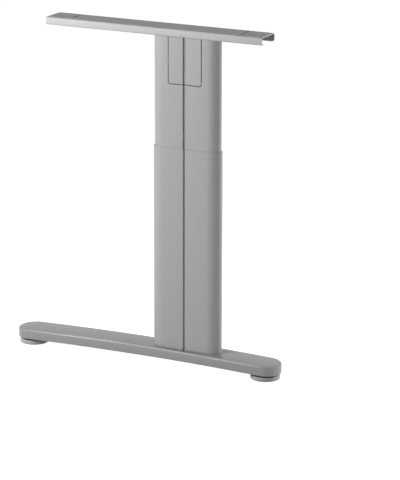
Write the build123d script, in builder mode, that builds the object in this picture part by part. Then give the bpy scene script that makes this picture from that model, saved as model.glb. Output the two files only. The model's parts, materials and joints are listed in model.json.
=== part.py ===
from build123d import *

import os
from math import atan2, degrees

# Height adjustable table leg, in millimetres. The origin is on the floor under the middle of
# the foot bar, +X runs along the bar to its short end, -Y is the outer face and +Z is up.

# Column: one oval section with a groove down each flat face, shared by both tubes
column_x = 98
column_width = 160
column_depth = 36
flat_width = 104
tip_radius = 12
groove_gap = 4
groove_depth = 3.5
outer_lip = 2
inner_lip = 1
wall = 1.5
tube_gap = 0.8
slide_clearance = 0.3
seat_gap = 0.05

# Heights along the column, with the leg set as in the photograph
seat_depth = 3
outer_top_z = 481
rail_top_z = 738

# Foot bar
foot_length = 634
foot_width = 69
foot_thickness = 22
foot_fall = 6.2
foot_top_edge = 4
foot_low_edge = 1
foot_wall = 5
foot_skin = 5
rib_thickness = 4
rib_count = 9
pad_margin = 8
seat_clearance = 0.3

# Levelling glides
disc_radius = 32
disc_recess = 1
cap_height = 3.2
disc_rim = 3
disc_low_edge = 1
socket_radius = 28.5
spigot_radius = 12
boss_wall = 5
stud_radius = 5
stud_head_width = 17
stud_head_height = 5
disc_floor = 3
thread_clearance = 0.05
running_gap = 0.3

# Base plate and the bolts that hold the column to the foot
plate_thickness = 8
base_bolt_radius = 5
base_bolt_spacing = 48
base_bolt_count = 3
base_head_radius = 8
base_head_height = 10
base_key_width = 8
bolt_hole_clearance = 0.5
head_hole_clearance = 1
bolt_tip_gap = 0.5

# Guides between the tubes
liner_thickness = 0.5
liner_height = 30
liner_recess = 1
shoe_rim = 6
shoe_skirt = 22
shoe_wall = 2.5
shoe_gap = 3

# Height clamp
travel_up = 80
travel_down = 120
clamp_z = 350
clamp_spread = 60
clamp_radius = 4
clamp_head_radius = 6.5
clamp_head_height = 8
clamp_key_width = 6
clamp_hole_clearance = 0.5
clamp_plate_margin = 14
clamp_plate_height = 34
clamp_plate_core = 3
washer_radius = 8
washer_thickness = 1.6
key_depth = 4
head_edge = 0.6

# Top rail and what joins it to the column
rail_length = 507
rail_offset = -69.5
rail_width = 62
rail_height = 17
sheet = 2
rail_bend = 3
rail_lip = 8
slot_inset = 55
slot_length = 48
slot_width = 6
head_plate_thickness = 6
head_plate_margin = 8
head_plate_gap = 4
head_plate_corner = 8

# Beam opening, its covers and the bracket behind them
cover_width = 76
cover_height = 107
cover_gap = 1.2
cover_corner = 4
opening_margin = 3
nub_rise = 51
nub_height = 3
bracket_sheet = 3
bracket_bend = 3
bracket_margin = 6.5
bracket_foot_margin = 1
bracket_hole_radius = 3.4
bracket_hole_x = 50
bracket_hole_margin = 15

end_run = (column_width - flat_width) / 2
half_depth = column_depth / 2
shoulder_radius = ((end_run - tip_radius) ** 2 + half_depth**2 - tip_radius**2) / (2 * (half_depth - tip_radius))
inner_inset = wall + tube_gap
inner_void = inner_inset + wall
column_top_z = rail_top_z - sheet - head_plate_thickness
inner_low_z = clamp_z - clamp_plate_height / 2 - travel_up - shoe_gap - shoe_skirt
opening_top_z = column_top_z - opening_margin
cover_top_z = opening_top_z - cover_gap
cover_low_z = cover_top_z - cover_height
glide_x = (foot_length - foot_width) / 2
rib_pitch = 2 * glide_x / (rib_count + 1)
disc_height = disc_floor + stud_head_height + disc_recess
foot_under_z = disc_height + cap_height + foot_fall
foot_crest_z = foot_under_z + foot_thickness
seat_z = foot_crest_z - seat_depth
bore_top_z = foot_crest_z - foot_fall - foot_skin


def column_level(height):
    """The horizontal plane at a height, centred on the column."""
    return Plane(origin=(column_x, 0, height))


def glide_level(side, height):
    """The horizontal plane at a height, centred on one of the glides."""
    return Plane(origin=(side * glide_x, 0, height))


def quarter_end(inset):
    """Draw a quarter of the section's rounded end, `inset` inside the outer tube's face."""
    shoulder = (flat_width / 2, shoulder_radius - half_depth)
    tip = (column_width / 2 - tip_radius, 0)
    turn = degrees(atan2(shoulder[1], tip[0] - shoulder[0]))
    CenterArc(shoulder, shoulder_radius - inset, -90, 90 - turn)
    CenterArc(tip, tip_radius - inset, -turn, turn)


def oval(inset):
    """The section's plain outline: two flats and two rounded ends."""
    face_y = inset - half_depth
    with BuildSketch() as outline:
        with BuildLine():
            Line((0, face_y), (flat_width / 2, face_y))
            quarter_end(inset)
            mirror(about=Plane.XZ)
            mirror(about=Plane.YZ)
        make_face()
    return outline.sketch


def section(inset, lip=0):
    """The oval with a groove down each flat, every line of it parallel to the outer tube's."""
    face_y = inset - half_depth
    floor_y = face_y + groove_depth
    reach = groove_gap / 2 + inset
    with BuildSketch() as outline:
        with BuildLine():
            Line((0, floor_y), (reach, floor_y))
            wall_and_flat = (reach, floor_y), (reach, face_y), (flat_width / 2, face_y)
            if lip:
                FilletPolyline(*wall_and_flat, radius=lip)
            else:
                Polyline(*wall_and_flat)
            quarter_end(inset)
            mirror(about=Plane.XZ)
            mirror(about=Plane.YZ)
        make_face()
    return outline.sketch


def band(outside, inside, lip=0):
    """A wall that follows the section between two insets, its outer lips rounded."""
    with BuildSketch() as ring:
        add(section(outside, lip))
        add(section(inside), mode=Mode.SUBTRACT)
    return ring.sketch


def arched_block(top_z, low_z, inset):
    """A full-round bar, `inset` inside the foot's outline, between two arches."""
    with BuildPart() as block:
        with BuildSketch(Plane.XZ):
            with BuildLine():
                crown = ThreePointArc(
                    (-foot_length / 2, top_z - foot_fall), (0, top_z), (foot_length / 2, top_z - foot_fall)
                )
                belly = ThreePointArc(
                    (-foot_length / 2, low_z - foot_fall), (0, low_z), (foot_length / 2, low_z - foot_fall)
                )
                Line(crown @ 0, belly @ 0)
                Line(crown @ 1, belly @ 1)
            make_face()
        extrude(amount=foot_width / 2, both=True)
        with BuildSketch(Plane.XY.offset(low_z - foot_fall)):
            SlotOverall(foot_length - 2 * inset, foot_width - 2 * inset)
        extrude(amount=top_z - low_z + foot_fall, mode=Mode.INTERSECT)
    return block.part


def finish(piece, name):
    """Label a finished piece and write it to a file of the same name."""
    piece.label = name
    export_step(piece, f"parts/{name}.step")


os.makedirs("parts", exist_ok=True)

# Hollow of the foot: what the casting leaves out between its wall, ribs, bosses and pad
with BuildPart() as foot_hollow:
    add(arched_block(foot_crest_z - foot_skin, foot_under_z - foot_wall, foot_wall))
    with BuildSketch():
        Rectangle(foot_length, rib_thickness)
        with GridLocations(rib_pitch, 0, rib_count, 1):
            Rectangle(rib_thickness, foot_width)
        with Locations((column_x, 0)):
            Rectangle(column_width + 2 * pad_margin, foot_width)
        with GridLocations(2 * glide_x, 0, 2, 1):
            Circle(spigot_radius + boss_wall)
    extrude(amount=foot_crest_z, mode=Mode.SUBTRACT)

# Foot bar: arched casting with full-round ends, a flat seat for the column and ribs underneath
with BuildPart() as foot_bar:
    add(arched_block(foot_crest_z, foot_under_z, 0))
    top_face = foot_bar.faces().sort_by(Axis.Z)[-1]
    fillet(top_face.edges(), foot_top_edge)
    low_face = foot_bar.faces().sort_by(Axis.Z)[0]
    chamfer(low_face.edges(), foot_low_edge)
    add(foot_hollow.part, mode=Mode.SUBTRACT)
    with BuildSketch(column_level(seat_z)):
        add(oval(-seat_clearance))
    extrude(amount=foot_thickness, mode=Mode.SUBTRACT)
    with BuildSketch():
        with GridLocations(2 * glide_x, 0, 2, 1):
            Circle(spigot_radius + seat_gap)
    extrude(amount=bore_top_z, mode=Mode.SUBTRACT)
    with BuildSketch(column_level(0)):
        with GridLocations(base_bolt_spacing, 0, base_bolt_count, 1):
            Circle(base_bolt_radius + bolt_hole_clearance)
    extrude(amount=seat_z, mode=Mode.SUBTRACT)
    head_seat_z = foot_under_z + base_head_height
    with BuildSketch(column_level(0)):
        with GridLocations(base_bolt_spacing, 0, base_bolt_count, 1):
            Circle(base_head_radius + head_hole_clearance)
    extrude(amount=head_seat_z, mode=Mode.SUBTRACT)
finish(foot_bar.part, "foot_bar")

# Base plate: thick plate welded inside the foot of the outer tube, tapped for the bolts
with BuildPart() as base_plate:
    with BuildSketch(column_level(seat_z)):
        add(section(wall + seat_gap))
        with GridLocations(base_bolt_spacing, 0, base_bolt_count, 1):
            Circle(base_bolt_radius, mode=Mode.SUBTRACT)
    extrude(amount=plate_thickness)
finish(base_plate.part, "base_plate")

# Base bolts: socket-head bolts in a row that come up through the foot into the plate
with BuildPart() as base_bolts:
    with BuildSketch(column_level(head_seat_z - base_head_height)):
        with GridLocations(base_bolt_spacing, 0, base_bolt_count, 1):
            Circle(base_head_radius)
    extrude(amount=base_head_height - seat_gap)
    with BuildSketch(column_level(head_seat_z - seat_gap)):
        with GridLocations(base_bolt_spacing, 0, base_bolt_count, 1):
            Circle(base_bolt_radius - thread_clearance)
    extrude(amount=seat_z + plate_thickness - bolt_tip_gap - head_seat_z)
    with BuildSketch(column_level(head_seat_z - base_head_height)):
        with GridLocations(base_bolt_spacing, 0, base_bolt_count, 1):
            RegularPolygon(base_key_width / 2, 6, major_radius=False)
    extrude(amount=base_head_height / 2, mode=Mode.SUBTRACT)
finish(base_bolts.part, "base_bolts")

# Outer tube: two holes through its back wall take the clamp screws
with BuildPart() as outer_column:
    with BuildSketch(column_level(seat_z)):
        add(band(0, wall, outer_lip))
    extrude(amount=outer_top_z - seat_z)
    with BuildSketch(Plane.XZ.offset(-half_depth - wall)):
        with Locations((column_x, clamp_z)):
            with GridLocations(clamp_spread, 0, 2, 1):
                Circle(clamp_radius + clamp_hole_clearance)
    extrude(amount=half_depth, mode=Mode.SUBTRACT)
finish(outer_column.part, "outer_column")

# Guide liner: moulded sleeve in the outer tube's mouth that the inner tube runs in
with BuildPart() as guide_liner:
    with BuildSketch(column_level(outer_top_z - liner_recess - liner_height)):
        add(band(wall + seat_gap, wall + liner_thickness))
    extrude(amount=liner_height)
finish(guide_liner.part, "guide_liner")

# Inner tube: beam openings through both faces, and two slots in the back for the clamp screws
with BuildPart() as inner_column:
    with BuildSketch(column_level(inner_low_z)):
        add(band(inner_inset, inner_void, inner_lip))
    extrude(amount=column_top_z - inner_low_z)
    with BuildSketch(Plane.XZ) as opening:
        low_z = cover_low_z - cover_gap
        with Locations((column_x, (low_z + opening_top_z) / 2)):
            Rectangle(cover_width + 2 * cover_gap, opening_top_z - low_z)
        fillet(opening.vertices().group_by(Axis.Z)[0], cover_corner + cover_gap)
    extrude(amount=half_depth, both=True, mode=Mode.SUBTRACT)
    slot_reach = travel_up + travel_down + 2 * (clamp_radius + clamp_hole_clearance)
    with BuildSketch(Plane.XZ.offset(-half_depth)):
        with Locations((column_x, clamp_z + (travel_down - travel_up) / 2)):
            with GridLocations(clamp_spread, 0, 2, 1):
                SlotOverall(slot_reach, 2 * (clamp_radius + clamp_hole_clearance), rotation=90)
    extrude(amount=half_depth, mode=Mode.SUBTRACT)
finish(inner_column.part, "inner_column")

# Guide shoe: moulded channel clipped over the inner tube's lower edge
with BuildPart() as guide_shoe:
    skin = wall + slide_clearance
    with BuildSketch(column_level(inner_low_z - shoe_rim)):
        add(band(skin, inner_void + shoe_wall))
    extrude(amount=shoe_rim)
    with BuildSketch(column_level(inner_low_z)):
        add(band(skin, inner_inset - seat_gap))
        add(band(inner_void + seat_gap, inner_void + shoe_wall))
    extrude(amount=shoe_skirt)
finish(guide_shoe.part, "guide_shoe")

# Clamp plate: tapped bar inside the inner tube, with a channel round the tube's groove
with BuildPart() as clamp_plate:
    face_y = half_depth - inner_void - slide_clearance
    floor_y = face_y - groove_depth
    with BuildSketch(Plane.XY.offset(clamp_z - clamp_plate_height / 2)):
        with Locations((column_x, (face_y + floor_y - clamp_plate_core) / 2)):
            Rectangle(clamp_spread + 2 * clamp_plate_margin, face_y - floor_y + clamp_plate_core)
        with Locations((column_x, face_y)):
            Rectangle(groove_gap + 2 * (inner_void + slide_clearance), 2 * groove_depth, mode=Mode.SUBTRACT)
    extrude(amount=clamp_plate_height)
    with BuildSketch(Plane.XZ.offset(-face_y)):
        with Locations((column_x, clamp_z)):
            with GridLocations(clamp_spread, 0, 2, 1):
                Circle(clamp_radius)
    extrude(amount=column_depth, mode=Mode.SUBTRACT)
finish(clamp_plate.part, "clamp_plate")

# Clamp washers, between the screws' heads and the outer tube
washer_y = half_depth + washer_thickness
with BuildPart() as clamp_washers:
    with BuildSketch(Plane.XZ.offset(-washer_y)):
        with Locations((column_x, clamp_z)):
            with GridLocations(clamp_spread, 0, 2, 1):
                Circle(washer_radius)
                Circle(clamp_radius + clamp_hole_clearance, mode=Mode.SUBTRACT)
    extrude(amount=washer_thickness)
finish(clamp_washers.part, "clamp_washers")

for side, name in ((-1, "left"), (1, "right")):
    screw_x = column_x + side * clamp_spread / 2

    # Clamp screw: pulls the clamp plate against the inner tube, and that against the outer
    with BuildPart() as clamp_screw:
        head_y = washer_y + seat_gap
        with BuildSketch(Plane.XZ.offset(-head_y - clamp_head_height)):
            with Locations((screw_x, clamp_z)):
                Circle(clamp_head_radius)
        extrude(amount=clamp_head_height)
        chamfer(clamp_screw.edges().sort_by(Axis.Y)[-1], head_edge)
        with BuildSketch(Plane.XZ.offset(-head_y)):
            with Locations((screw_x, clamp_z)):
                Circle(clamp_radius - thread_clearance)
        extrude(amount=head_y - floor_y)
        with BuildSketch(Plane.XZ.offset(-head_y - clamp_head_height)):
            with Locations((screw_x, clamp_z)):
                RegularPolygon(clamp_key_width / 2, 6, major_radius=False)
        extrude(amount=key_depth, mode=Mode.SUBTRACT)
    finish(clamp_screw.part, f"{name}_clamp_screw")

# Head plate: welded on the inner tube's top end, inside the rail
with BuildPart() as head_plate:
    with BuildSketch(column_level(column_top_z)):
        plate_length = column_width + 2 * head_plate_margin
        plate_width = rail_width - 2 * (sheet + head_plate_gap)
        RectangleRounded(plate_length, plate_width, head_plate_corner)
    extrude(amount=head_plate_thickness)
finish(head_plate.part, "head_plate")

# Top rail: folded channel, open below, with in-turned lips and a cross slot near each end
with BuildPart() as top_rail:
    rail_x = column_x + rail_offset
    edge_y = (rail_width - sheet) / 2
    high_z = rail_top_z - sheet / 2
    lip_z = rail_top_z - rail_height + sheet / 2
    with BuildSketch(Plane.YZ.offset(rail_x - rail_length / 2)):
        with BuildLine() as fold:
            FilletPolyline(
                (rail_lip - edge_y, lip_z),
                (-edge_y, lip_z),
                (-edge_y, high_z),
                (edge_y, high_z),
                (edge_y, lip_z),
                (edge_y - rail_lip, lip_z),
                radius=rail_bend,
            )
        trace(line_width=sheet)
    extrude(amount=rail_length)
    with BuildSketch(Plane.XY.offset(high_z - sheet)):
        with Locations((rail_x, 0)):
            with GridLocations(rail_length - 2 * slot_inset, 0, 2, 1):
                SlotOverall(slot_length, slot_width, rotation=90)
    extrude(amount=2 * sheet, mode=Mode.SUBTRACT)
finish(top_rail.part, "top_rail")

# Blanking covers: follow the tube and its groove, and snap in by a nub on each side
for side, name in ((-1, "front"), (1, "back")):
    with BuildPart() as cover:
        with BuildSketch(column_level(cover_low_z)):
            add(band(inner_inset, inner_void, inner_lip))
        extrude(amount=cover_height)
        with BuildSketch(Plane.XZ) as panel:
            with Locations((column_x, (cover_low_z + cover_top_z) / 2)):
                Rectangle(cover_width, cover_height)
            fillet(panel.vertices().group_by(Axis.Z)[0], cover_corner)
            with Locations((column_x, cover_low_z + nub_rise)):
                Rectangle(cover_width + 2 * (cover_gap - seat_gap), nub_height)
        extrude(amount=-side * half_depth, mode=Mode.INTERSECT)
    finish(cover.part, f"{name}_cover")

# Beam bracket: folded strip across the inside of the tube, welded to its front and back walls
with BuildPart() as beam_bracket:
    wall_y = half_depth - inner_void - seat_gap - bracket_sheet / 2
    web_x = cover_width / 2 - bracket_sheet
    foot_x = flat_width / 2 - bracket_foot_margin
    bracket_z = (cover_low_z + cover_top_z) / 2
    bracket_height = cover_height - 2 * bracket_margin
    bracket_hole_z = bracket_height - 2 * bracket_hole_margin
    with BuildSketch(column_level(bracket_z - bracket_height / 2)):
        with BuildLine():
            FilletPolyline(
                (-foot_x, -wall_y),
                (-web_x, -wall_y),
                (-web_x, 0),
                (web_x, 0),
                (web_x, wall_y),
                (foot_x, wall_y),
                radius=bracket_bend,
            )
        trace(line_width=bracket_sheet)
    extrude(amount=bracket_height)
    with BuildSketch(Plane.XZ.offset(-bracket_sheet)):
        with Locations((column_x, bracket_z)):
            with GridLocations(bracket_hole_x, bracket_hole_z, 2, 2):
                Circle(bracket_hole_radius)
    extrude(amount=2 * bracket_sheet, mode=Mode.SUBTRACT)
finish(beam_bracket.part, "beam_bracket")

for side, name in ((-1, "left"), (1, "right")):
    socket_low_z = disc_height + running_gap

    # Socket: black moulded cap under the foot's end, with the thread that the stud turns in
    with BuildPart() as socket:
        add(arched_block(foot_under_z - seat_gap, foot_under_z - foot_thickness, 0))
        with BuildSketch(glide_level(side, 0)):
            Circle(socket_radius)
        extrude(amount=foot_crest_z, mode=Mode.INTERSECT)
        split(bisect_by=Plane.XY.offset(socket_low_z), keep=Keep.TOP)
        with BuildSketch(glide_level(side, socket_low_z)):
            Circle(spigot_radius)
        extrude(amount=bore_top_z - seat_gap - socket_low_z)
        with BuildSketch(glide_level(side, socket_low_z)):
            Circle(stud_radius)
        extrude(amount=foot_crest_z, mode=Mode.SUBTRACT)
    finish(socket.part, f"{name}_socket")

    # Stud: hexagon head held in the disc, thread in the socket
    with BuildPart() as stud:
        with BuildSketch(glide_level(side, disc_floor)):
            RegularPolygon(stud_head_width / 2 - seat_gap, 6, major_radius=False)
        extrude(amount=stud_head_height)
        with BuildSketch(glide_level(side, disc_floor + stud_head_height)):
            Circle(stud_radius - thread_clearance)
        extrude(amount=bore_top_z - bolt_tip_gap - disc_floor - stud_head_height)
    finish(stud.part, f"{name}_stud")

    # Disc: moulded glide with a rounded rim and a hexagon pocket for the stud's head
    with BuildPart() as disc:
        with BuildSketch(glide_level(side, 0)):
            Circle(disc_radius)
        extrude(amount=disc_height)
        chamfer(disc.edges().sort_by(Axis.Z)[-1], disc_rim)
        chamfer(disc.edges().sort_by(Axis.Z)[0], disc_low_edge)
        with BuildSketch(glide_level(side, disc_floor)):
            RegularPolygon(stud_head_width / 2, 6, major_radius=False)
        extrude(amount=disc_height, mode=Mode.SUBTRACT)
    finish(disc.part, f"{name}_disc")
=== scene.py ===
# %% [markdown]
# # Height adjustable table leg
# This file dresses a packed engineering model of a desk leg. The leg is an arched foot bar on
# two levelling glides, a telescopic column with an oval section, and a folded rail on top that
# the desk's board is screwed to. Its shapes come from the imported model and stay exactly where
# they are. What is made here is what a drawing leaves out: paint, cast skin, welds, threads and
# knurls.

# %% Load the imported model
import json
import math

import bmesh
import bpy
from mathutils import Euler, Matrix, Vector

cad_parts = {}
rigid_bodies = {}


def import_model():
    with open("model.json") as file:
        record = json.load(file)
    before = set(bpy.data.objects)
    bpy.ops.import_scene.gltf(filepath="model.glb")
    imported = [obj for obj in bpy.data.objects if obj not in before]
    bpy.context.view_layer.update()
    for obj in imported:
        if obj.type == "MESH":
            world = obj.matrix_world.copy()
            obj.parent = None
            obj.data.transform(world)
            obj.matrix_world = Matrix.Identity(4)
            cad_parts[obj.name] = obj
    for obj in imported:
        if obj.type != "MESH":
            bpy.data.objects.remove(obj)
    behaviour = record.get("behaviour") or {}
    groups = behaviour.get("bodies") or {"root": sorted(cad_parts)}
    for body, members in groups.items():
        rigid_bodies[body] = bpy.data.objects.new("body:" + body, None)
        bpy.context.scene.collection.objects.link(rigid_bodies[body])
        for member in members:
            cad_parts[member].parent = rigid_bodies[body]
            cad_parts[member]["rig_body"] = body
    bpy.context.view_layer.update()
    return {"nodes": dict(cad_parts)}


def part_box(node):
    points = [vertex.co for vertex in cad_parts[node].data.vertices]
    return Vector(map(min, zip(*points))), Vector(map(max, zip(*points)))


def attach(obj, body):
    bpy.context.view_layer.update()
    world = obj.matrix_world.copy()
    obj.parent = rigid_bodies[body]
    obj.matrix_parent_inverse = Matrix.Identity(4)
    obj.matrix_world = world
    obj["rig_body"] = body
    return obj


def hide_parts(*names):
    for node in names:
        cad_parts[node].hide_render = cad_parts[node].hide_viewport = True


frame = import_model()
nodes = frame["nodes"]
print("nodes:", sorted(nodes))

# %% [markdown]
# ## Camera
# A picture of furniture is taken from far away with a long lens, so that upright lines stay
# upright. The camera stands a little over five metres off, to the right of the leg's outer
# face, and looks down by about fifteen degrees. No lens shift is used: the camera is aimed at
# a point beside the leg, which puts the leg in the left part of the frame as in the picture.

# %% Place the camera
camera_data = bpy.data.cameras.new("studio_camera")
camera_data.sensor_width = 36
camera_data.lens = 195.9
camera_data.clip_start = 0.5
camera_data.clip_end = 60
camera = bpy.data.objects.new("studio_camera", camera_data)
bpy.context.scene.collection.objects.link(camera)
camera.location = (2.5224, -4.7655, 1.7635)
aim = Euler((math.radians(74.49), 0, math.radians(26.69))).to_matrix()
roll = Matrix.Rotation(math.radians(0.14), 3, "Z")
camera.rotation_euler = (aim @ roll).to_euler()
bpy.context.scene.camera = camera
bpy.context.scene.view_settings.view_transform = "Standard"
print("camera stands", round(camera.location.length, 2), "m from the foot")

# %% [markdown]
# ## Helpers for node trees
# Every finish below is a small tree of shader nodes. Writing each link by hand hides what the
# tree does, so two short helpers add a node with its values and join two sockets.


# %% Node helpers
def add_node(tree, kind, **values):
    """Add a node, set its properties, and set its inputs by socket name."""
    node = tree.nodes.new(kind)
    for name, value in values.items():
        if hasattr(node, name):
            setattr(node, name, value)
        else:
            node.inputs[name.replace("_", " ")].default_value = value
    return node


def join(tree, source, target):
    """Link an output socket to an input socket."""
    tree.links.new(source, target)


# %% [markdown]
# ## World and backdrop
# The leg stands in a white studio. The world is split with Light Path: the camera, mirrors and
# glass see pure white, and everything else is lit by a much weaker grey. So the picture's
# background is white without more light falling on the paint.

# %% Make the world
world = bpy.data.worlds.new("studio_world")
bpy.context.scene.world = world
world.use_nodes = True
sky = world.node_tree
sky.nodes.clear()


def sees_background(tree):
    """A value of 1 for rays from the camera, from a mirror or through glass, and else 0."""
    path = add_node(tree, "ShaderNodeLightPath")
    mirror_or_glass = add_node(tree, "ShaderNodeMath", operation="MAXIMUM")
    join(tree, path.outputs["Is Glossy Ray"], mirror_or_glass.inputs[0])
    join(tree, path.outputs["Is Transmission Ray"], mirror_or_glass.inputs[1])
    either = add_node(tree, "ShaderNodeMath", operation="MAXIMUM")
    join(tree, path.outputs["Is Camera Ray"], either.inputs[0])
    join(tree, mirror_or_glass.outputs[0], either.inputs[1])
    return either.outputs[0]


white = add_node(sky, "ShaderNodeBackground", Color=(1, 1, 1, 1), Strength=1.0)
fill = add_node(sky, "ShaderNodeBackground", Color=(0.93, 0.96, 1, 1), Strength=0.12)
choice = add_node(sky, "ShaderNodeMixShader")
world_out = add_node(sky, "ShaderNodeOutputWorld")
join(sky, sees_background(sky), choice.inputs[0])
join(sky, fill.outputs[0], choice.inputs[1])
join(sky, white.outputs[0], choice.inputs[2])
join(sky, choice.outputs[0], world_out.inputs[0])
print("world: white to the camera, mirrors and glass, grey fill on the leg")

# %% [markdown]
# ## Floor
# A floor carries the leg and catches its soft shadow. To melt into the white background it
# can't be lit brighter, since that would also light the leg. So its material adds a glow just
# under white to a grey surface, for the same rays that see the white world. Where the lamps
# reach the floor the sum is white, and where the leg is in their way a soft shadow is left.


# %% Lay the floor
def mesh_object(name, points, faces):
    """A new object with a mesh of these points and faces, linked to the scene."""
    mesh = bpy.data.meshes.new(name)
    mesh.from_pydata(points, [], faces)
    mesh.update()
    made = bpy.data.objects.new(name, mesh)
    bpy.context.scene.collection.objects.link(made)
    return made


reach = 14
floor = mesh_object(
    "studio_floor",
    [(-reach, -reach, 0), (reach, -reach, 0), (reach, reach, 0), (-reach, reach, 0)],
    [(0, 1, 2, 3)],
)
floor_finish = bpy.data.materials.new("pale_floor")
floor_finish.use_nodes = True
tree = floor_finish.node_tree
shader = tree.nodes["Principled BSDF"]
shader.inputs["Base Color"].default_value = (0.35, 0.35, 0.35, 1)
shader.inputs["Roughness"].default_value = 0.9
shader.inputs["Specular IOR Level"].default_value = 0.1
glow = add_node(tree, "ShaderNodeEmission", Color=(1, 1, 1, 1), Strength=0.96)
both = add_node(tree, "ShaderNodeAddShader")
pick = add_node(tree, "ShaderNodeMixShader")
join(tree, shader.outputs[0], both.inputs[0])
join(tree, glow.outputs[0], both.inputs[1])
join(tree, sees_background(tree), pick.inputs[0])
join(tree, shader.outputs[0], pick.inputs[1])
join(tree, both.outputs[0], pick.inputs[2])
join(tree, pick.outputs[0], tree.nodes["Material Output"].inputs["Surface"])
floor.data.materials.append(floor_finish)
print("floor is", 2 * reach, "m square")

# %% [markdown]
# ## Lamps
# Silver paint is shaped by what it faces. A broad lamp in front and to the left makes the
# column's left edge the brightest part, and because it hangs low, the rail's top stays darker
# than its front. A flat top that mirrors such a lamp turns white when it is seen from behind,
# so this lamp is hidden from gloss and a weaker gleam lamp beside it is the one that shows. A
# tall lamp behind to the right draws the light line down the column's far edge. The edge lamp
# high above is seen in gloss only: it lights nothing, but draws a line on the upper edges.


# %% Hang the lamps
def hang_lamp(name, place, aim, size, power, mirrored=False):
    """A rectangular lamp at a place, turned to a point, seen in gloss only if mirrored."""
    data = bpy.data.lights.new(name, "AREA")
    data.shape = "RECTANGLE"
    data.size, data.size_y = size
    data.energy = power
    lamp = bpy.data.objects.new(name, data)
    bpy.context.scene.collection.objects.link(lamp)
    lamp.location = place
    lamp.visible_camera = False
    lamp.visible_glossy = mirrored
    lamp.rotation_euler = (Vector(aim) - Vector(place)).to_track_quat("-Z", "Y").to_euler()
    return lamp


hang_lamp("front_left_lamp", (-0.95, -1.2, 0.84), (0.08, 0, 0.6), (1.4, 0.6), 20)
hang_lamp("gleam_lamp", (-0.88, -1.12, 0.83), (0.08, 0, 0.6), (1.4, 0.6), 10, mirrored=True)
hang_lamp("back_lamp", (1.62, 1.0, 0.5), (0.1, 0, 0.4), (0.9, 1.3), 40)
edge_lamp = hang_lamp("edge_lamp", (-0.82, -0.51, 2.0), (0, 0, 0.4), (1.2, 0.25), 9, mirrored=True)
edge_lamp.visible_diffuse = False

# %% [markdown]
# ## Silver paint
# The column and the rail are powder coated: a fine dry paint with flakes of aluminium is
# sprayed on and melted to a skin. Three things make it read as paint and not as grey plastic:
# tiny flakes that differ in tone, the soft waves of the melted skin, and a slow change of
# gloss. All three are put in one shader node group, so that each painted piece can use them
# with its own values.


# %% Node group for paint
def new_group(name, inputs, outputs):
    """A shader node group with float or colour inputs and outputs, and its two end nodes."""
    group = bpy.data.node_groups.new(name, "ShaderNodeTree")
    for label, kind, value in inputs:
        socket = group.interface.new_socket(name=label, in_out="INPUT", socket_type=kind)
        socket.default_value = value
    for label, kind in outputs:
        group.interface.new_socket(name=label, in_out="OUTPUT", socket_type=kind)
    return group, group.nodes.new("NodeGroupInput"), group.nodes.new("NodeGroupOutput")


NUMBER, COLOUR = "NodeSocketFloat", "NodeSocketColor"
paint_skin, skin_in, skin_out = new_group(
    "paint_skin",
    [
        ("Colour", COLOUR, (0.4, 0.4, 0.4, 1)),
        ("Flake size", NUMBER, 1600),
        ("Flake tone", NUMBER, 0.1),
        ("Wave size", NUMBER, 120),
        ("Roughness", NUMBER, 0.4),
        ("Roughness change", NUMBER, 0.06),
    ],
    [("Colour", COLOUR), ("Roughness", NUMBER), ("Height", NUMBER)],
)
place = add_node(paint_skin, "ShaderNodeTexCoord")
flakes = add_node(paint_skin, "ShaderNodeTexVoronoi", feature="F1")
join(paint_skin, place.outputs["Object"], flakes.inputs["Vector"])
join(paint_skin, skin_in.outputs["Flake size"], flakes.inputs["Scale"])
flake_grey = add_node(paint_skin, "ShaderNodeSeparateColor")
join(paint_skin, flakes.outputs["Color"], flake_grey.inputs[0])
centred = add_node(paint_skin, "ShaderNodeMath", operation="SUBTRACT")
centred.inputs[1].default_value = 0.5
join(paint_skin, flake_grey.outputs[0], centred.inputs[0])
scaled = add_node(paint_skin, "ShaderNodeMath", operation="MULTIPLY_ADD")
scaled.inputs[2].default_value = 1
join(paint_skin, centred.outputs[0], scaled.inputs[0])
join(paint_skin, skin_in.outputs["Flake tone"], scaled.inputs[1])
toned = add_node(paint_skin, "ShaderNodeVectorMath", operation="SCALE")
join(paint_skin, skin_in.outputs["Colour"], toned.inputs[0])
join(paint_skin, scaled.outputs[0], toned.inputs["Scale"])
join(paint_skin, toned.outputs[0], skin_out.inputs["Colour"])
waves = add_node(paint_skin, "ShaderNodeTexNoise", Detail=2.0)
join(paint_skin, place.outputs["Object"], waves.inputs["Vector"])
join(paint_skin, skin_in.outputs["Wave size"], waves.inputs["Scale"])
join(paint_skin, waves.outputs["Fac"], skin_out.inputs["Height"])
slow = add_node(paint_skin, "ShaderNodeTexNoise", Scale=7.0, Detail=3.0)
join(paint_skin, place.outputs["Object"], slow.inputs["Vector"])
gloss_shift = add_node(paint_skin, "ShaderNodeMath", operation="SUBTRACT")
gloss_shift.inputs[1].default_value = 0.5
join(paint_skin, slow.outputs["Fac"], gloss_shift.inputs[0])
gloss = add_node(paint_skin, "ShaderNodeMath", operation="MULTIPLY_ADD")
join(paint_skin, gloss_shift.outputs[0], gloss.inputs[0])
join(paint_skin, skin_in.outputs["Roughness change"], gloss.inputs[1])
join(paint_skin, skin_in.outputs["Roughness"], gloss.inputs[2])
join(paint_skin, gloss.outputs[0], skin_out.inputs["Roughness"])
print("paint group has", len(paint_skin.nodes), "nodes")


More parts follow.
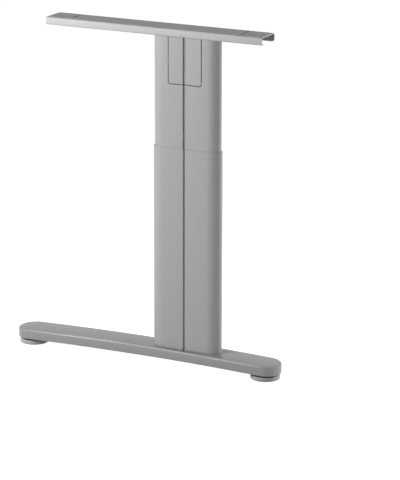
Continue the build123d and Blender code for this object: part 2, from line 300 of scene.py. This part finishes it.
# %% Paint materials
def painted(name, tone, metallic, bump, mirror, **values):
    """A material whose colour, gloss and relief come from the paint group."""
    material = bpy.data.materials.new(name)
    material.use_nodes = True
    tree = material.node_tree
    shader = tree.nodes["Principled BSDF"]
    shader.inputs["Metallic"].default_value = metallic
    shader.inputs["Specular IOR Level"].default_value = mirror
    skin = add_node(tree, "ShaderNodeGroup", node_tree=paint_skin)
    skin.inputs["Colour"].default_value = (*tone, 1)
    for label, value in values.items():
        skin.inputs[label.replace("_", " ")].default_value = value
    join(tree, skin.outputs["Colour"], shader.inputs["Base Color"])
    join(tree, skin.outputs["Roughness"], shader.inputs["Roughness"])
    relief = add_node(tree, "ShaderNodeBump", Strength=bump, Distance=0.0004)
    join(tree, skin.outputs["Height"], relief.inputs["Height"])
    join(tree, relief.outputs["Normal"], shader.inputs["Normal"])
    return material


# The column, the rail and the foot wear one silver paint. The tones differ only to copy how bright
# each piece shows under the lamps: painted light on the rail, painted shade on the foot.
column_silver = painted(
    "column_silver_paint",
    (0.39, 0.39, 0.392),
    metallic=0.12,
    bump=0.25,
    mirror=0.15,
    Roughness=0.4,
)
# The rail's lighter tone is painted light.
rail_silver_painted_light = painted(
    "rail_silver_paint",
    (0.52, 0.522, 0.525),
    metallic=0.05,
    bump=0.2,
    mirror=0.02,
    Roughness=0.3,
)
# The foot's darker tone is painted shade.
foot_silver_painted_shade = painted(
    "foot_silver_paint",
    (0.29, 0.29, 0.294),
    metallic=0.38,
    bump=0.5,
    mirror=0.15,
    Roughness=0.3,
    Wave_size=420,
)
print("paints for the column, the rail and the foot")

# %% [markdown]
# ## Plastics and bare metal
# The glides and guides are moulded, the screws are zinc plated and the inner plates are plain
# steel. None of them has flakes, so they use a second group: a fine grain with an uneven
# gloss.

# %% Node group for grain
fine_grain, grain_in, grain_out = new_group(
    "fine_grain",
    [
        ("Dark", COLOUR, (0.02, 0.02, 0.02, 1)),
        ("Light", COLOUR, (0.03, 0.03, 0.03, 1)),
        ("Grain size", NUMBER, 900),
        ("Roughness", NUMBER, 0.5),
        ("Roughness change", NUMBER, 0.1),
    ],
    [("Colour", COLOUR), ("Roughness", NUMBER), ("Height", NUMBER)],
)
spot = add_node(fine_grain, "ShaderNodeTexCoord")
grain = add_node(fine_grain, "ShaderNodeTexNoise", Detail=3.0)
join(fine_grain, spot.outputs["Object"], grain.inputs["Vector"])
join(fine_grain, grain_in.outputs["Grain size"], grain.inputs["Scale"])
cloud = add_node(fine_grain, "ShaderNodeTexNoise", Scale=22.0, Detail=4.0)
join(fine_grain, spot.outputs["Object"], cloud.inputs["Vector"])
blend_tone = add_node(fine_grain, "ShaderNodeMix", data_type="RGBA")
join(fine_grain, cloud.outputs["Fac"], blend_tone.inputs[0])
join(fine_grain, grain_in.outputs["Dark"], blend_tone.inputs[6])
join(fine_grain, grain_in.outputs["Light"], blend_tone.inputs[7])
join(fine_grain, blend_tone.outputs[2], grain_out.inputs["Colour"])
join(fine_grain, grain.outputs["Fac"], grain_out.inputs["Height"])
rough_shift = add_node(fine_grain, "ShaderNodeMath", operation="SUBTRACT")
rough_shift.inputs[1].default_value = 0.5
join(fine_grain, cloud.outputs["Fac"], rough_shift.inputs[0])
rough = add_node(fine_grain, "ShaderNodeMath", operation="MULTIPLY_ADD")
join(fine_grain, rough_shift.outputs[0], rough.inputs[0])
join(fine_grain, grain_in.outputs["Roughness change"], rough.inputs[1])
join(fine_grain, grain_in.outputs["Roughness"], rough.inputs[2])
join(fine_grain, rough.outputs[0], grain_out.inputs["Roughness"])
print("grain group has", len(fine_grain.nodes), "nodes")


# %% Plastic and metal materials
def grained(name, dark, light, metallic, bump, size, roughness, change, mirror=0.5):
    """A material whose colour, gloss and relief come from the grain group."""
    material = bpy.data.materials.new(name)
    material.use_nodes = True
    tree = material.node_tree
    shader = tree.nodes["Principled BSDF"]
    shader.inputs["Metallic"].default_value = metallic
    shader.inputs["Specular IOR Level"].default_value = mirror
    skin = add_node(tree, "ShaderNodeGroup", node_tree=fine_grain)
    skin.inputs["Dark"].default_value = (*dark, 1)
    skin.inputs["Light"].default_value = (*light, 1)
    skin.inputs["Grain size"].default_value = size
    skin.inputs["Roughness"].default_value = roughness
    skin.inputs["Roughness change"].default_value = change
    join(tree, skin.outputs["Colour"], shader.inputs["Base Color"])
    join(tree, skin.outputs["Roughness"], shader.inputs["Roughness"])
    relief = add_node(tree, "ShaderNodeBump", Strength=bump, Distance=0.0003)
    join(tree, skin.outputs["Height"], relief.inputs["Height"])
    join(tree, relief.outputs["Normal"], shader.inputs["Normal"])
    return material


black_moulding = grained(
    "black_moulding",
    (0.006, 0.006, 0.007),
    (0.016, 0.016, 0.017),
    metallic=0,
    bump=0.35,
    size=1400,
    roughness=0.55,
    change=0.15,
    mirror=0.15,
)
grey_moulding = grained(
    "grey_moulding",
    (0.36, 0.365, 0.37),
    (0.43, 0.435, 0.44),
    metallic=0,
    bump=0.2,
    size=1400,
    roughness=0.42,
    change=0.12,
    mirror=0.3,
)
slide_moulding = grained(
    "slide_moulding",
    (0.55, 0.55, 0.54),
    (0.62, 0.62, 0.60),
    metallic=0,
    bump=0.15,
    size=1100,
    roughness=0.4,
    change=0.1,
)
zinc_plate = grained(
    "zinc_plate",
    (0.52, 0.53, 0.55),
    (0.66, 0.67, 0.68),
    metallic=1,
    bump=0.2,
    size=2400,
    roughness=0.3,
    change=0.15,
)
plain_steel = grained(
    "plain_steel",
    (0.28, 0.28, 0.29),
    (0.40, 0.40, 0.41),
    metallic=1,
    bump=0.35,
    size=1300,
    roughness=0.42,
    change=0.2,
)
print("three mouldings, zinc plate and plain steel")

# %% [markdown]
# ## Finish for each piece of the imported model
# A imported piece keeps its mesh. Only the material in its slot is changed, so its shape stays
# the one that was drawn.

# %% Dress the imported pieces
finishes = {
    "foot_bar": foot_silver_painted_shade,
    "outer_column": column_silver,
    "inner_column": column_silver,
    "front_cover": column_silver,
    "back_cover": column_silver,
    "head_plate": column_silver,
    "beam_bracket": plain_steel,
    "top_rail": rail_silver_painted_light,
    "base_plate": plain_steel,
    "clamp_plate": plain_steel,
    "base_bolts": zinc_plate,
    "clamp_washers": zinc_plate,
    "left_clamp_screw": zinc_plate,
    "right_clamp_screw": zinc_plate,
    "guide_liner": slide_moulding,
    "guide_shoe": slide_moulding,
    "left_socket": black_moulding,
    "right_socket": black_moulding,
    "left_stud": zinc_plate,
    "right_stud": zinc_plate,
    "left_disc": grey_moulding,
    "right_disc": grey_moulding,
}
for name, finish in finishes.items():
    for material_slot in nodes[name].material_slots:
        material_slot.material = finish
print("dressed", len(finishes), "of", len(nodes), "packed pieces")

# %% [markdown]
# ## Rounded edges
# No real edge is as sharp as a drawn one. A sawn tube is deburred, a moulding leaves its die
# with a small radius, and paint pulls back from a corner, so every edge catches a thin line of
# light. A Bevel node in the material could fake that line, but it only tilts normals and is
# lost when the model is exported. So each piece that shows its edges is copied, the copy's
# loose triangles are merged into whole faces, and a Bevel modifier rounds what is sharper than
# a set angle. The round parts of a piece are made of flatter steps than that and stay as they
# are. The modifier's own clamp is off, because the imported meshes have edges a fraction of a
# millimetre long, and these would hold the rounding of the whole foot bar and inner tube back
# to almost nothing. A Weld modifier then closes up any sliver that the rounding leaves.


# %% Helpers for modelled copies
sharp_angle = math.radians(38)
flat_angle = math.radians(0.5)
same_point = 1e-6


def settle(piece):
    """Turn a piece and its modifiers into one plain mesh."""
    graph = bpy.context.evaluated_depsgraph_get()
    mesh = bpy.data.meshes.new_from_object(piece.evaluated_get(graph), depsgraph=graph)
    piece.modifiers.clear()
    piece.data = mesh
    return piece


def merged_copy(name, node):
    """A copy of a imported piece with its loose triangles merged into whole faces."""
    copy = bpy.data.objects.new(name, nodes[node].data.copy())
    bpy.context.scene.collection.objects.link(copy)
    shape = bmesh.new()
    shape.from_mesh(copy.data)
    bmesh.ops.remove_doubles(shape, verts=shape.verts, dist=same_point)
    bmesh.ops.dissolve_limit(shape, angle_limit=flat_angle, verts=shape.verts, edges=shape.edges)
    shape.to_mesh(copy.data)
    shape.free()
    copy.data.shade_smooth()
    copy.data.set_sharp_from_angle(angle=sharp_angle)
    return copy


# %% Round the edges
sliver_width = 4e-6
edge_radius = {
    "outer_column": (0.0004, "column_paint"),
    "inner_column": (0.0007, "column_paint"),
    "front_cover": (0.0009, "column_paint"),
    "back_cover": (0.0009, "column_paint"),
    "head_plate": (0.0005, "column_paint"),
    "top_rail": (0.0004, "rail_paint"),
    "foot_bar": (0.0006, "foot_paint"),
    "left_disc": (0.0006, "grey_plastic"),
    "right_disc": (0.0006, "grey_plastic"),
    "left_socket": (0.0005, "black_plastic"),
    "right_socket": (0.0005, "black_plastic"),
}
for node, (radius, slot) in edge_radius.items():
    piece = merged_copy(f"rounded_{node}", node)
    bevel = piece.modifiers.new("edge", "BEVEL")
    bevel.width = radius
    bevel.segments = 2
    bevel.limit_method = "ANGLE"
    bevel.angle_limit = sharp_angle
    bevel.harden_normals = True
    bevel.use_clamp_overlap = False
    closing = piece.modifiers.new("closing", "WELD")
    closing.merge_threshold = sliver_width
    settle(piece)
    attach(piece, nodes[node]["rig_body"])
    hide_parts(node)
    print(piece.name, "has", len(piece.data.polygons), "faces")

# %% [markdown]
# ## Helpers for Geometry Nodes
# Threads, knurls and welds follow a rule or a path, so each is a Geometry Nodes tree with named
# inputs. A tree grows on a host object. Its result is then turned into a plain mesh, so that
# nothing is left to work out when the model is exported.

# %% Geometry Nodes helpers
WHOLE, VECTOR, FINISH = "NodeSocketInt", "NodeSocketVector", "NodeSocketMaterial"


def geometry_group(name, inputs):
    """A Geometry Nodes tree with these inputs, and its two end nodes."""
    tree = bpy.data.node_groups.new(name, "GeometryNodeTree")
    tree.interface.new_socket("Geometry", in_out="INPUT", socket_type="NodeSocketGeometry")
    for label, kind in inputs:
        tree.interface.new_socket(label, in_out="INPUT", socket_type=kind)
    tree.interface.new_socket("Geometry", in_out="OUTPUT", socket_type="NodeSocketGeometry")
    return tree, tree.nodes.new("NodeGroupInput"), tree.nodes.new("NodeGroupOutput")


def maths(tree, operation, first, second=0.0):
    """A Math node fed by sockets or numbers. Gives its output."""
    node = add_node(tree, "ShaderNodeMath", operation=operation)
    for socket, value in ((node.inputs[0], first), (node.inputs[1], second)):
        if isinstance(value, bpy.types.NodeSocket):
            join(tree, value, socket)
        else:
            socket.default_value = value
    return node.outputs[0]


def finish_tree(tree, geometry, ends):
    """Realize the instances, set the material and send the geometry out."""
    start, end = ends
    real = add_node(tree, "GeometryNodeRealizeInstances")
    dress = add_node(tree, "GeometryNodeSetMaterial")
    join(tree, geometry, real.inputs[0])
    join(tree, real.outputs[0], dress.inputs["Geometry"])
    join(tree, start.outputs["Finish"], dress.inputs["Material"])
    join(tree, dress.outputs[0], end.inputs[0])


def grow(host, tree, values):
    """Run a tree on a host object and keep the result as its plain mesh."""
    modifier = host.modifiers.new(tree.name, "NODES")
    modifier.node_group = tree
    for item in tree.interface.items_tree:
        if item.in_out == "INPUT" and item.name in values:
            modifier[item.identifier] = values[item.name]
    settle(host)
    print(host.name, "has", len(host.data.polygons), "faces")
    return host


# %% [markdown]
# ## Threaded studs
# Each glide hangs on a stud with a rolled thread, which shows when the glide is wound out. A
# screw modifier could wind a profile up into a helix, but its ends stay open. Here a cylinder
# with many rings is pushed in by a wave instead: the wave runs up with height and once round
# with the angle, which is what a thread is. The ends stay closed and flat, and the crests
# stay at the drawn radius, so the stud still fits its cap.

# %% Thread tree
screw_thread, thread_in, thread_out = geometry_group(
    "screw_thread",
    [
        ("Shank centre", VECTOR),
        ("Shank radius", NUMBER),
        ("Shank length", NUMBER),
        ("Rings", WHOLE),
        ("Pitch", NUMBER),
        ("Thread depth", NUMBER),
        ("Head centre", VECTOR),
        ("Head radius", NUMBER),
        ("Head height", NUMBER),
        ("Finish", FINISH),
    ],
)
shank = add_node(screw_thread, "GeometryNodeMeshCylinder", fill_type="NGON", Vertices=24)
join(screw_thread, thread_in.outputs["Rings"], shank.inputs["Side Segments"])
join(screw_thread, thread_in.outputs["Shank radius"], shank.inputs["Radius"])
join(screw_thread, thread_in.outputs["Shank length"], shank.inputs["Depth"])
where = add_node(screw_thread, "ShaderNodeSeparateXYZ")
join(screw_thread, add_node(screw_thread, "GeometryNodeInputPosition").outputs[0], where.inputs[0])
angle = maths(screw_thread, "ARCTAN2", where.outputs["Y"], where.outputs["X"])
turns = maths(screw_thread, "DIVIDE", where.outputs["Z"], thread_in.outputs["Pitch"])
climb = maths(screw_thread, "SUBTRACT", turns, maths(screw_thread, "DIVIDE", angle, math.tau))
wave = maths(screw_thread, "PINGPONG", climb, 0.5)
inward = maths(screw_thread, "MULTIPLY", wave, -2)
cut = maths(screw_thread, "MULTIPLY", inward, thread_in.outputs["Thread depth"])
flat_place = add_node(screw_thread, "ShaderNodeCombineXYZ")
join(screw_thread, where.outputs["X"], flat_place.inputs["X"])
join(screw_thread, where.outputs["Y"], flat_place.inputs["Y"])
outward = add_node(screw_thread, "ShaderNodeVectorMath", operation="NORMALIZE")
join(screw_thread, flat_place.outputs[0], outward.inputs[0])
push = add_node(screw_thread, "ShaderNodeVectorMath", operation="SCALE")
join(screw_thread, outward.outputs[0], push.inputs[0])
join(screw_thread, cut, push.inputs["Scale"])
threaded = add_node(screw_thread, "GeometryNodeSetPosition")
join(screw_thread, shank.outputs["Mesh"], threaded.inputs["Geometry"])
join(screw_thread, push.outputs[0], threaded.inputs["Offset"])
placed_shank = add_node(screw_thread, "GeometryNodeTransform")
join(screw_thread, threaded.outputs[0], placed_shank.inputs["Geometry"])
join(screw_thread, thread_in.outputs["Shank centre"], placed_shank.inputs["Translation"])
head = add_node(screw_thread, "GeometryNodeMeshCylinder", fill_type="NGON", Vertices=6)
join(screw_thread, thread_in.outputs["Head radius"], head.inputs["Radius"])
join(screw_thread, thread_in.outputs["Head height"], head.inputs["Depth"])
placed_head = add_node(screw_thread, "GeometryNodeTransform")
join(screw_thread, head.outputs["Mesh"], placed_head.inputs["Geometry"])
join(screw_thread, thread_in.outputs["Head centre"], placed_head.inputs["Translation"])
whole_stud = add_node(screw_thread, "GeometryNodeJoinGeometry")
join(screw_thread, placed_head.outputs[0], whole_stud.inputs[0])
join(screw_thread, placed_shank.outputs[0], whole_stud.inputs[0])
finish_tree(screw_thread, whole_stud.outputs[0], (thread_in, thread_out))
print("thread tree has", len(screw_thread.nodes), "nodes")

# %% Grow the studs
stud_head_height = 0.005
stud_pitch = 0.0015
thread_radius = 0.00495
thread_depth = 0.0008
rings_per_turn = 6
for side in ("left", "right"):
    low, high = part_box(f"{side}_stud")
    middle = (low + high) / 2
    head_top = low.z + stud_head_height
    shank_length = high.z - head_top
    stud = mesh_object(f"{side}_threaded_stud", [], [])
    grow(
        stud,
        screw_thread,
        {
            "Shank centre": (middle.x, middle.y, head_top + shank_length / 2),
            "Shank radius": thread_radius,
            "Shank length": shank_length,
            "Rings": round(shank_length / stud_pitch * rings_per_turn),
            "Pitch": stud_pitch,
            "Thread depth": thread_depth,
            "Head centre": (middle.x, middle.y, low.z + stud_head_height / 2),
            "Head radius": (high.x - low.x) / 2,
            "Head height": stud_head_height,
            "Finish": zinc_plate,
        },
    )
    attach(stud, f"{side}_glide")
    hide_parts(f"{side}_stud")

# %% [markdown]
# ## Knurled screw heads
# The two clamp screws on the back have socket heads with a knurled rim, so that fingers can
# turn them before the key does. A knurl is one ridge repeated round the rim. The tree sets
# small six sided bars on the points of a circle, half sunk in the head.

# %% Knurl tree
head_knurl, knurl_in, knurl_out = geometry_group(
    "head_knurl",
    [
        ("Centre", VECTOR),
        ("Rim radius", NUMBER),
        ("Ridge length", NUMBER),
        ("Ridge radius", NUMBER),
        ("Ridge count", WHOLE),
        ("Finish", FINISH),
    ],
)
ring = add_node(head_knurl, "GeometryNodeMeshCircle")
join(head_knurl, knurl_in.outputs["Ridge count"], ring.inputs["Vertices"])
join(head_knurl, knurl_in.outputs["Rim radius"], ring.inputs["Radius"])
ridge = add_node(head_knurl, "GeometryNodeMeshCylinder", fill_type="NGON", Vertices=6)
join(head_knurl, knurl_in.outputs["Ridge radius"], ridge.inputs["Radius"])
join(head_knurl, knurl_in.outputs["Ridge length"], ridge.inputs["Depth"])
ridges = add_node(head_knurl, "GeometryNodeInstanceOnPoints")
join(head_knurl, ring.outputs[0], ridges.inputs["Points"])
join(head_knurl, ridge.outputs["Mesh"], ridges.inputs["Instance"])
laid_over = add_node(head_knurl, "GeometryNodeTransform")
laid_over.inputs["Rotation"].default_value = (math.radians(90), 0, 0)
join(head_knurl, ridges.outputs[0], laid_over.inputs["Geometry"])
join(head_knurl, knurl_in.outputs["Centre"], laid_over.inputs["Translation"])
finish_tree(head_knurl, laid_over.outputs[0], (knurl_in, knurl_out))
print("knurl tree has", len(head_knurl.nodes), "nodes")

# %% Grow the knurls
clamp_head_height = 0.008
ridge_length = 0.0056
ridge_radius = 0.00045
ridge_count = 36
ridge_sink = 0.0001
for side in ("left", "right"):
    low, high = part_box(f"{side}_clamp_screw")
    middle = (low + high) / 2
    knurl = mesh_object(f"{side}_clamp_knurl", [], [])
    grow(
        knurl,
        head_knurl,
        {
            "Centre": (middle.x, high.y - clamp_head_height / 2, middle.z),
            "Rim radius": (high.x - low.x) / 2 - ridge_sink,
            "Ridge length": ridge_length,
            "Ridge radius": ridge_radius,
            "Ridge count": ridge_count,
            "Finish": zinc_plate,
        },
    )
    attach(knurl, f"{side}_clamp")

# %% [markdown]
# ## Welds
# The head plate is welded to the inner tube all round, and the rail to the head plate by short
# stitches. A weld is laid down drop by drop, so it looks like a row of overlapping scales.
# The tree walks along a path, sets a drop every millimetre and a half, half sunk in the metal,
# and varies each drop's size a little with a fixed seed. The path round the tube is read from
# the tube's own upper rim, where the upper face meets a wall that looks outward.

# %% Weld tree
smallest_drop, largest_drop = 0.82, 1.1
weld_bead, weld_in, weld_out = geometry_group(
    "weld_bead",
    [
        ("Drop radius", NUMBER),
        ("Drop spacing", NUMBER),
        ("Seed", WHOLE),
        ("Finish", FINISH),
    ],
)
line = add_node(weld_bead, "GeometryNodeMeshToCurve")
join(weld_bead, weld_in.outputs["Geometry"], line.inputs[0])
steps = add_node(weld_bead, "GeometryNodeResampleCurve", mode="LENGTH")
join(weld_bead, line.outputs[0], steps.inputs["Curve"])
join(weld_bead, weld_in.outputs["Drop spacing"], steps.inputs["Length"])
drop = add_node(weld_bead, "GeometryNodeMeshIcoSphere", Subdivisions=2)
join(weld_bead, weld_in.outputs["Drop radius"], drop.inputs["Radius"])
vary = add_node(weld_bead, "FunctionNodeRandomValue", data_type="FLOAT")
vary.inputs[2].default_value = smallest_drop
vary.inputs[3].default_value = largest_drop
join(weld_bead, weld_in.outputs["Seed"], vary.inputs["Seed"])
drops = add_node(weld_bead, "GeometryNodeInstanceOnPoints")
join(weld_bead, steps.outputs[0], drops.inputs["Points"])
join(weld_bead, drop.outputs[0], drops.inputs["Instance"])
join(weld_bead, vary.outputs[1], drops.inputs["Scale"])
finish_tree(weld_bead, drops.outputs[0], (weld_in, weld_out))
print("weld tree has", len(weld_bead.nodes), "nodes")

# %% Lay the welds
drop_radius = 0.0018
drop_spacing = 0.0015
stitch_length = 0.024
stitch_places = (0.15, 0.5, 0.85)
near_enough = 1e-5
wall_tilt = 0.5


def rim_edges(node, height):
    """The points and edges of a tube's outer rim at a height."""
    shape = bmesh.new()
    shape.from_mesh(nodes[node].data)
    bmesh.ops.remove_doubles(shape, verts=shape.verts, dist=same_point)
    low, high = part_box(node)
    centre = (low + high) / 2
    points, edges = [], []
    for edge in shape.edges:
        ends = [vertex.co.copy() for vertex in edge.verts]
        if min(end.z for end in ends) < height - near_enough:
            continue
        walls = [face.normal for face in edge.link_faces if abs(face.normal.z) < wall_tilt]
        outward = (ends[0] + ends[1]) / 2 - centre
        outward.z = 0
        if walls and walls[0].dot(outward) > 0:
            edges.append((len(points), len(points) + 1))
            points.extend(ends)
    shape.free()
    return points, edges


def lay_weld(name, points, edges, body, seed):
    """A weld bead along these edges, riding on a body."""
    path = bpy.data.meshes.new(name)
    path.from_pydata(points, edges, [])
    joined = bmesh.new()
    joined.from_mesh(path)
    bmesh.ops.remove_doubles(joined, verts=joined.verts, dist=near_enough)
    joined.to_mesh(path)
    joined.free()
    bead = bpy.data.objects.new(name, path)
    bpy.context.scene.collection.objects.link(bead)
    values = {
        "Drop radius": drop_radius,
        "Drop spacing": drop_spacing,
        "Seed": seed,
        "Finish": column_silver,
    }
    grow(bead, weld_bead, values)
    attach(bead, body)


tube_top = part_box("inner_column")[1].z
rim_points, rim_lines = rim_edges("inner_column", tube_top)
rim_points = [point - Vector((0, 0, drop_radius / 2)) for point in rim_points]
lay_weld("head_plate_weld", rim_points, rim_lines, "upper", seed=3)

plate_low, plate_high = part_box("head_plate")
stitch_points, stitch_lines = [], []
for side_y in (plate_low.y, plate_high.y):
    for share in stitch_places:
        start_x = plate_low.x + share * (plate_high.x - plate_low.x) - stitch_length / 2
        stitch_lines.append((len(stitch_points), len(stitch_points) + 1))
        for x in (start_x, start_x + stitch_length):
            stitch_points.append((x, side_y, plate_high.z - drop_radius / 2))
lay_weld("rail_stitch_weld", stitch_points, stitch_lines, "upper", seed=5)
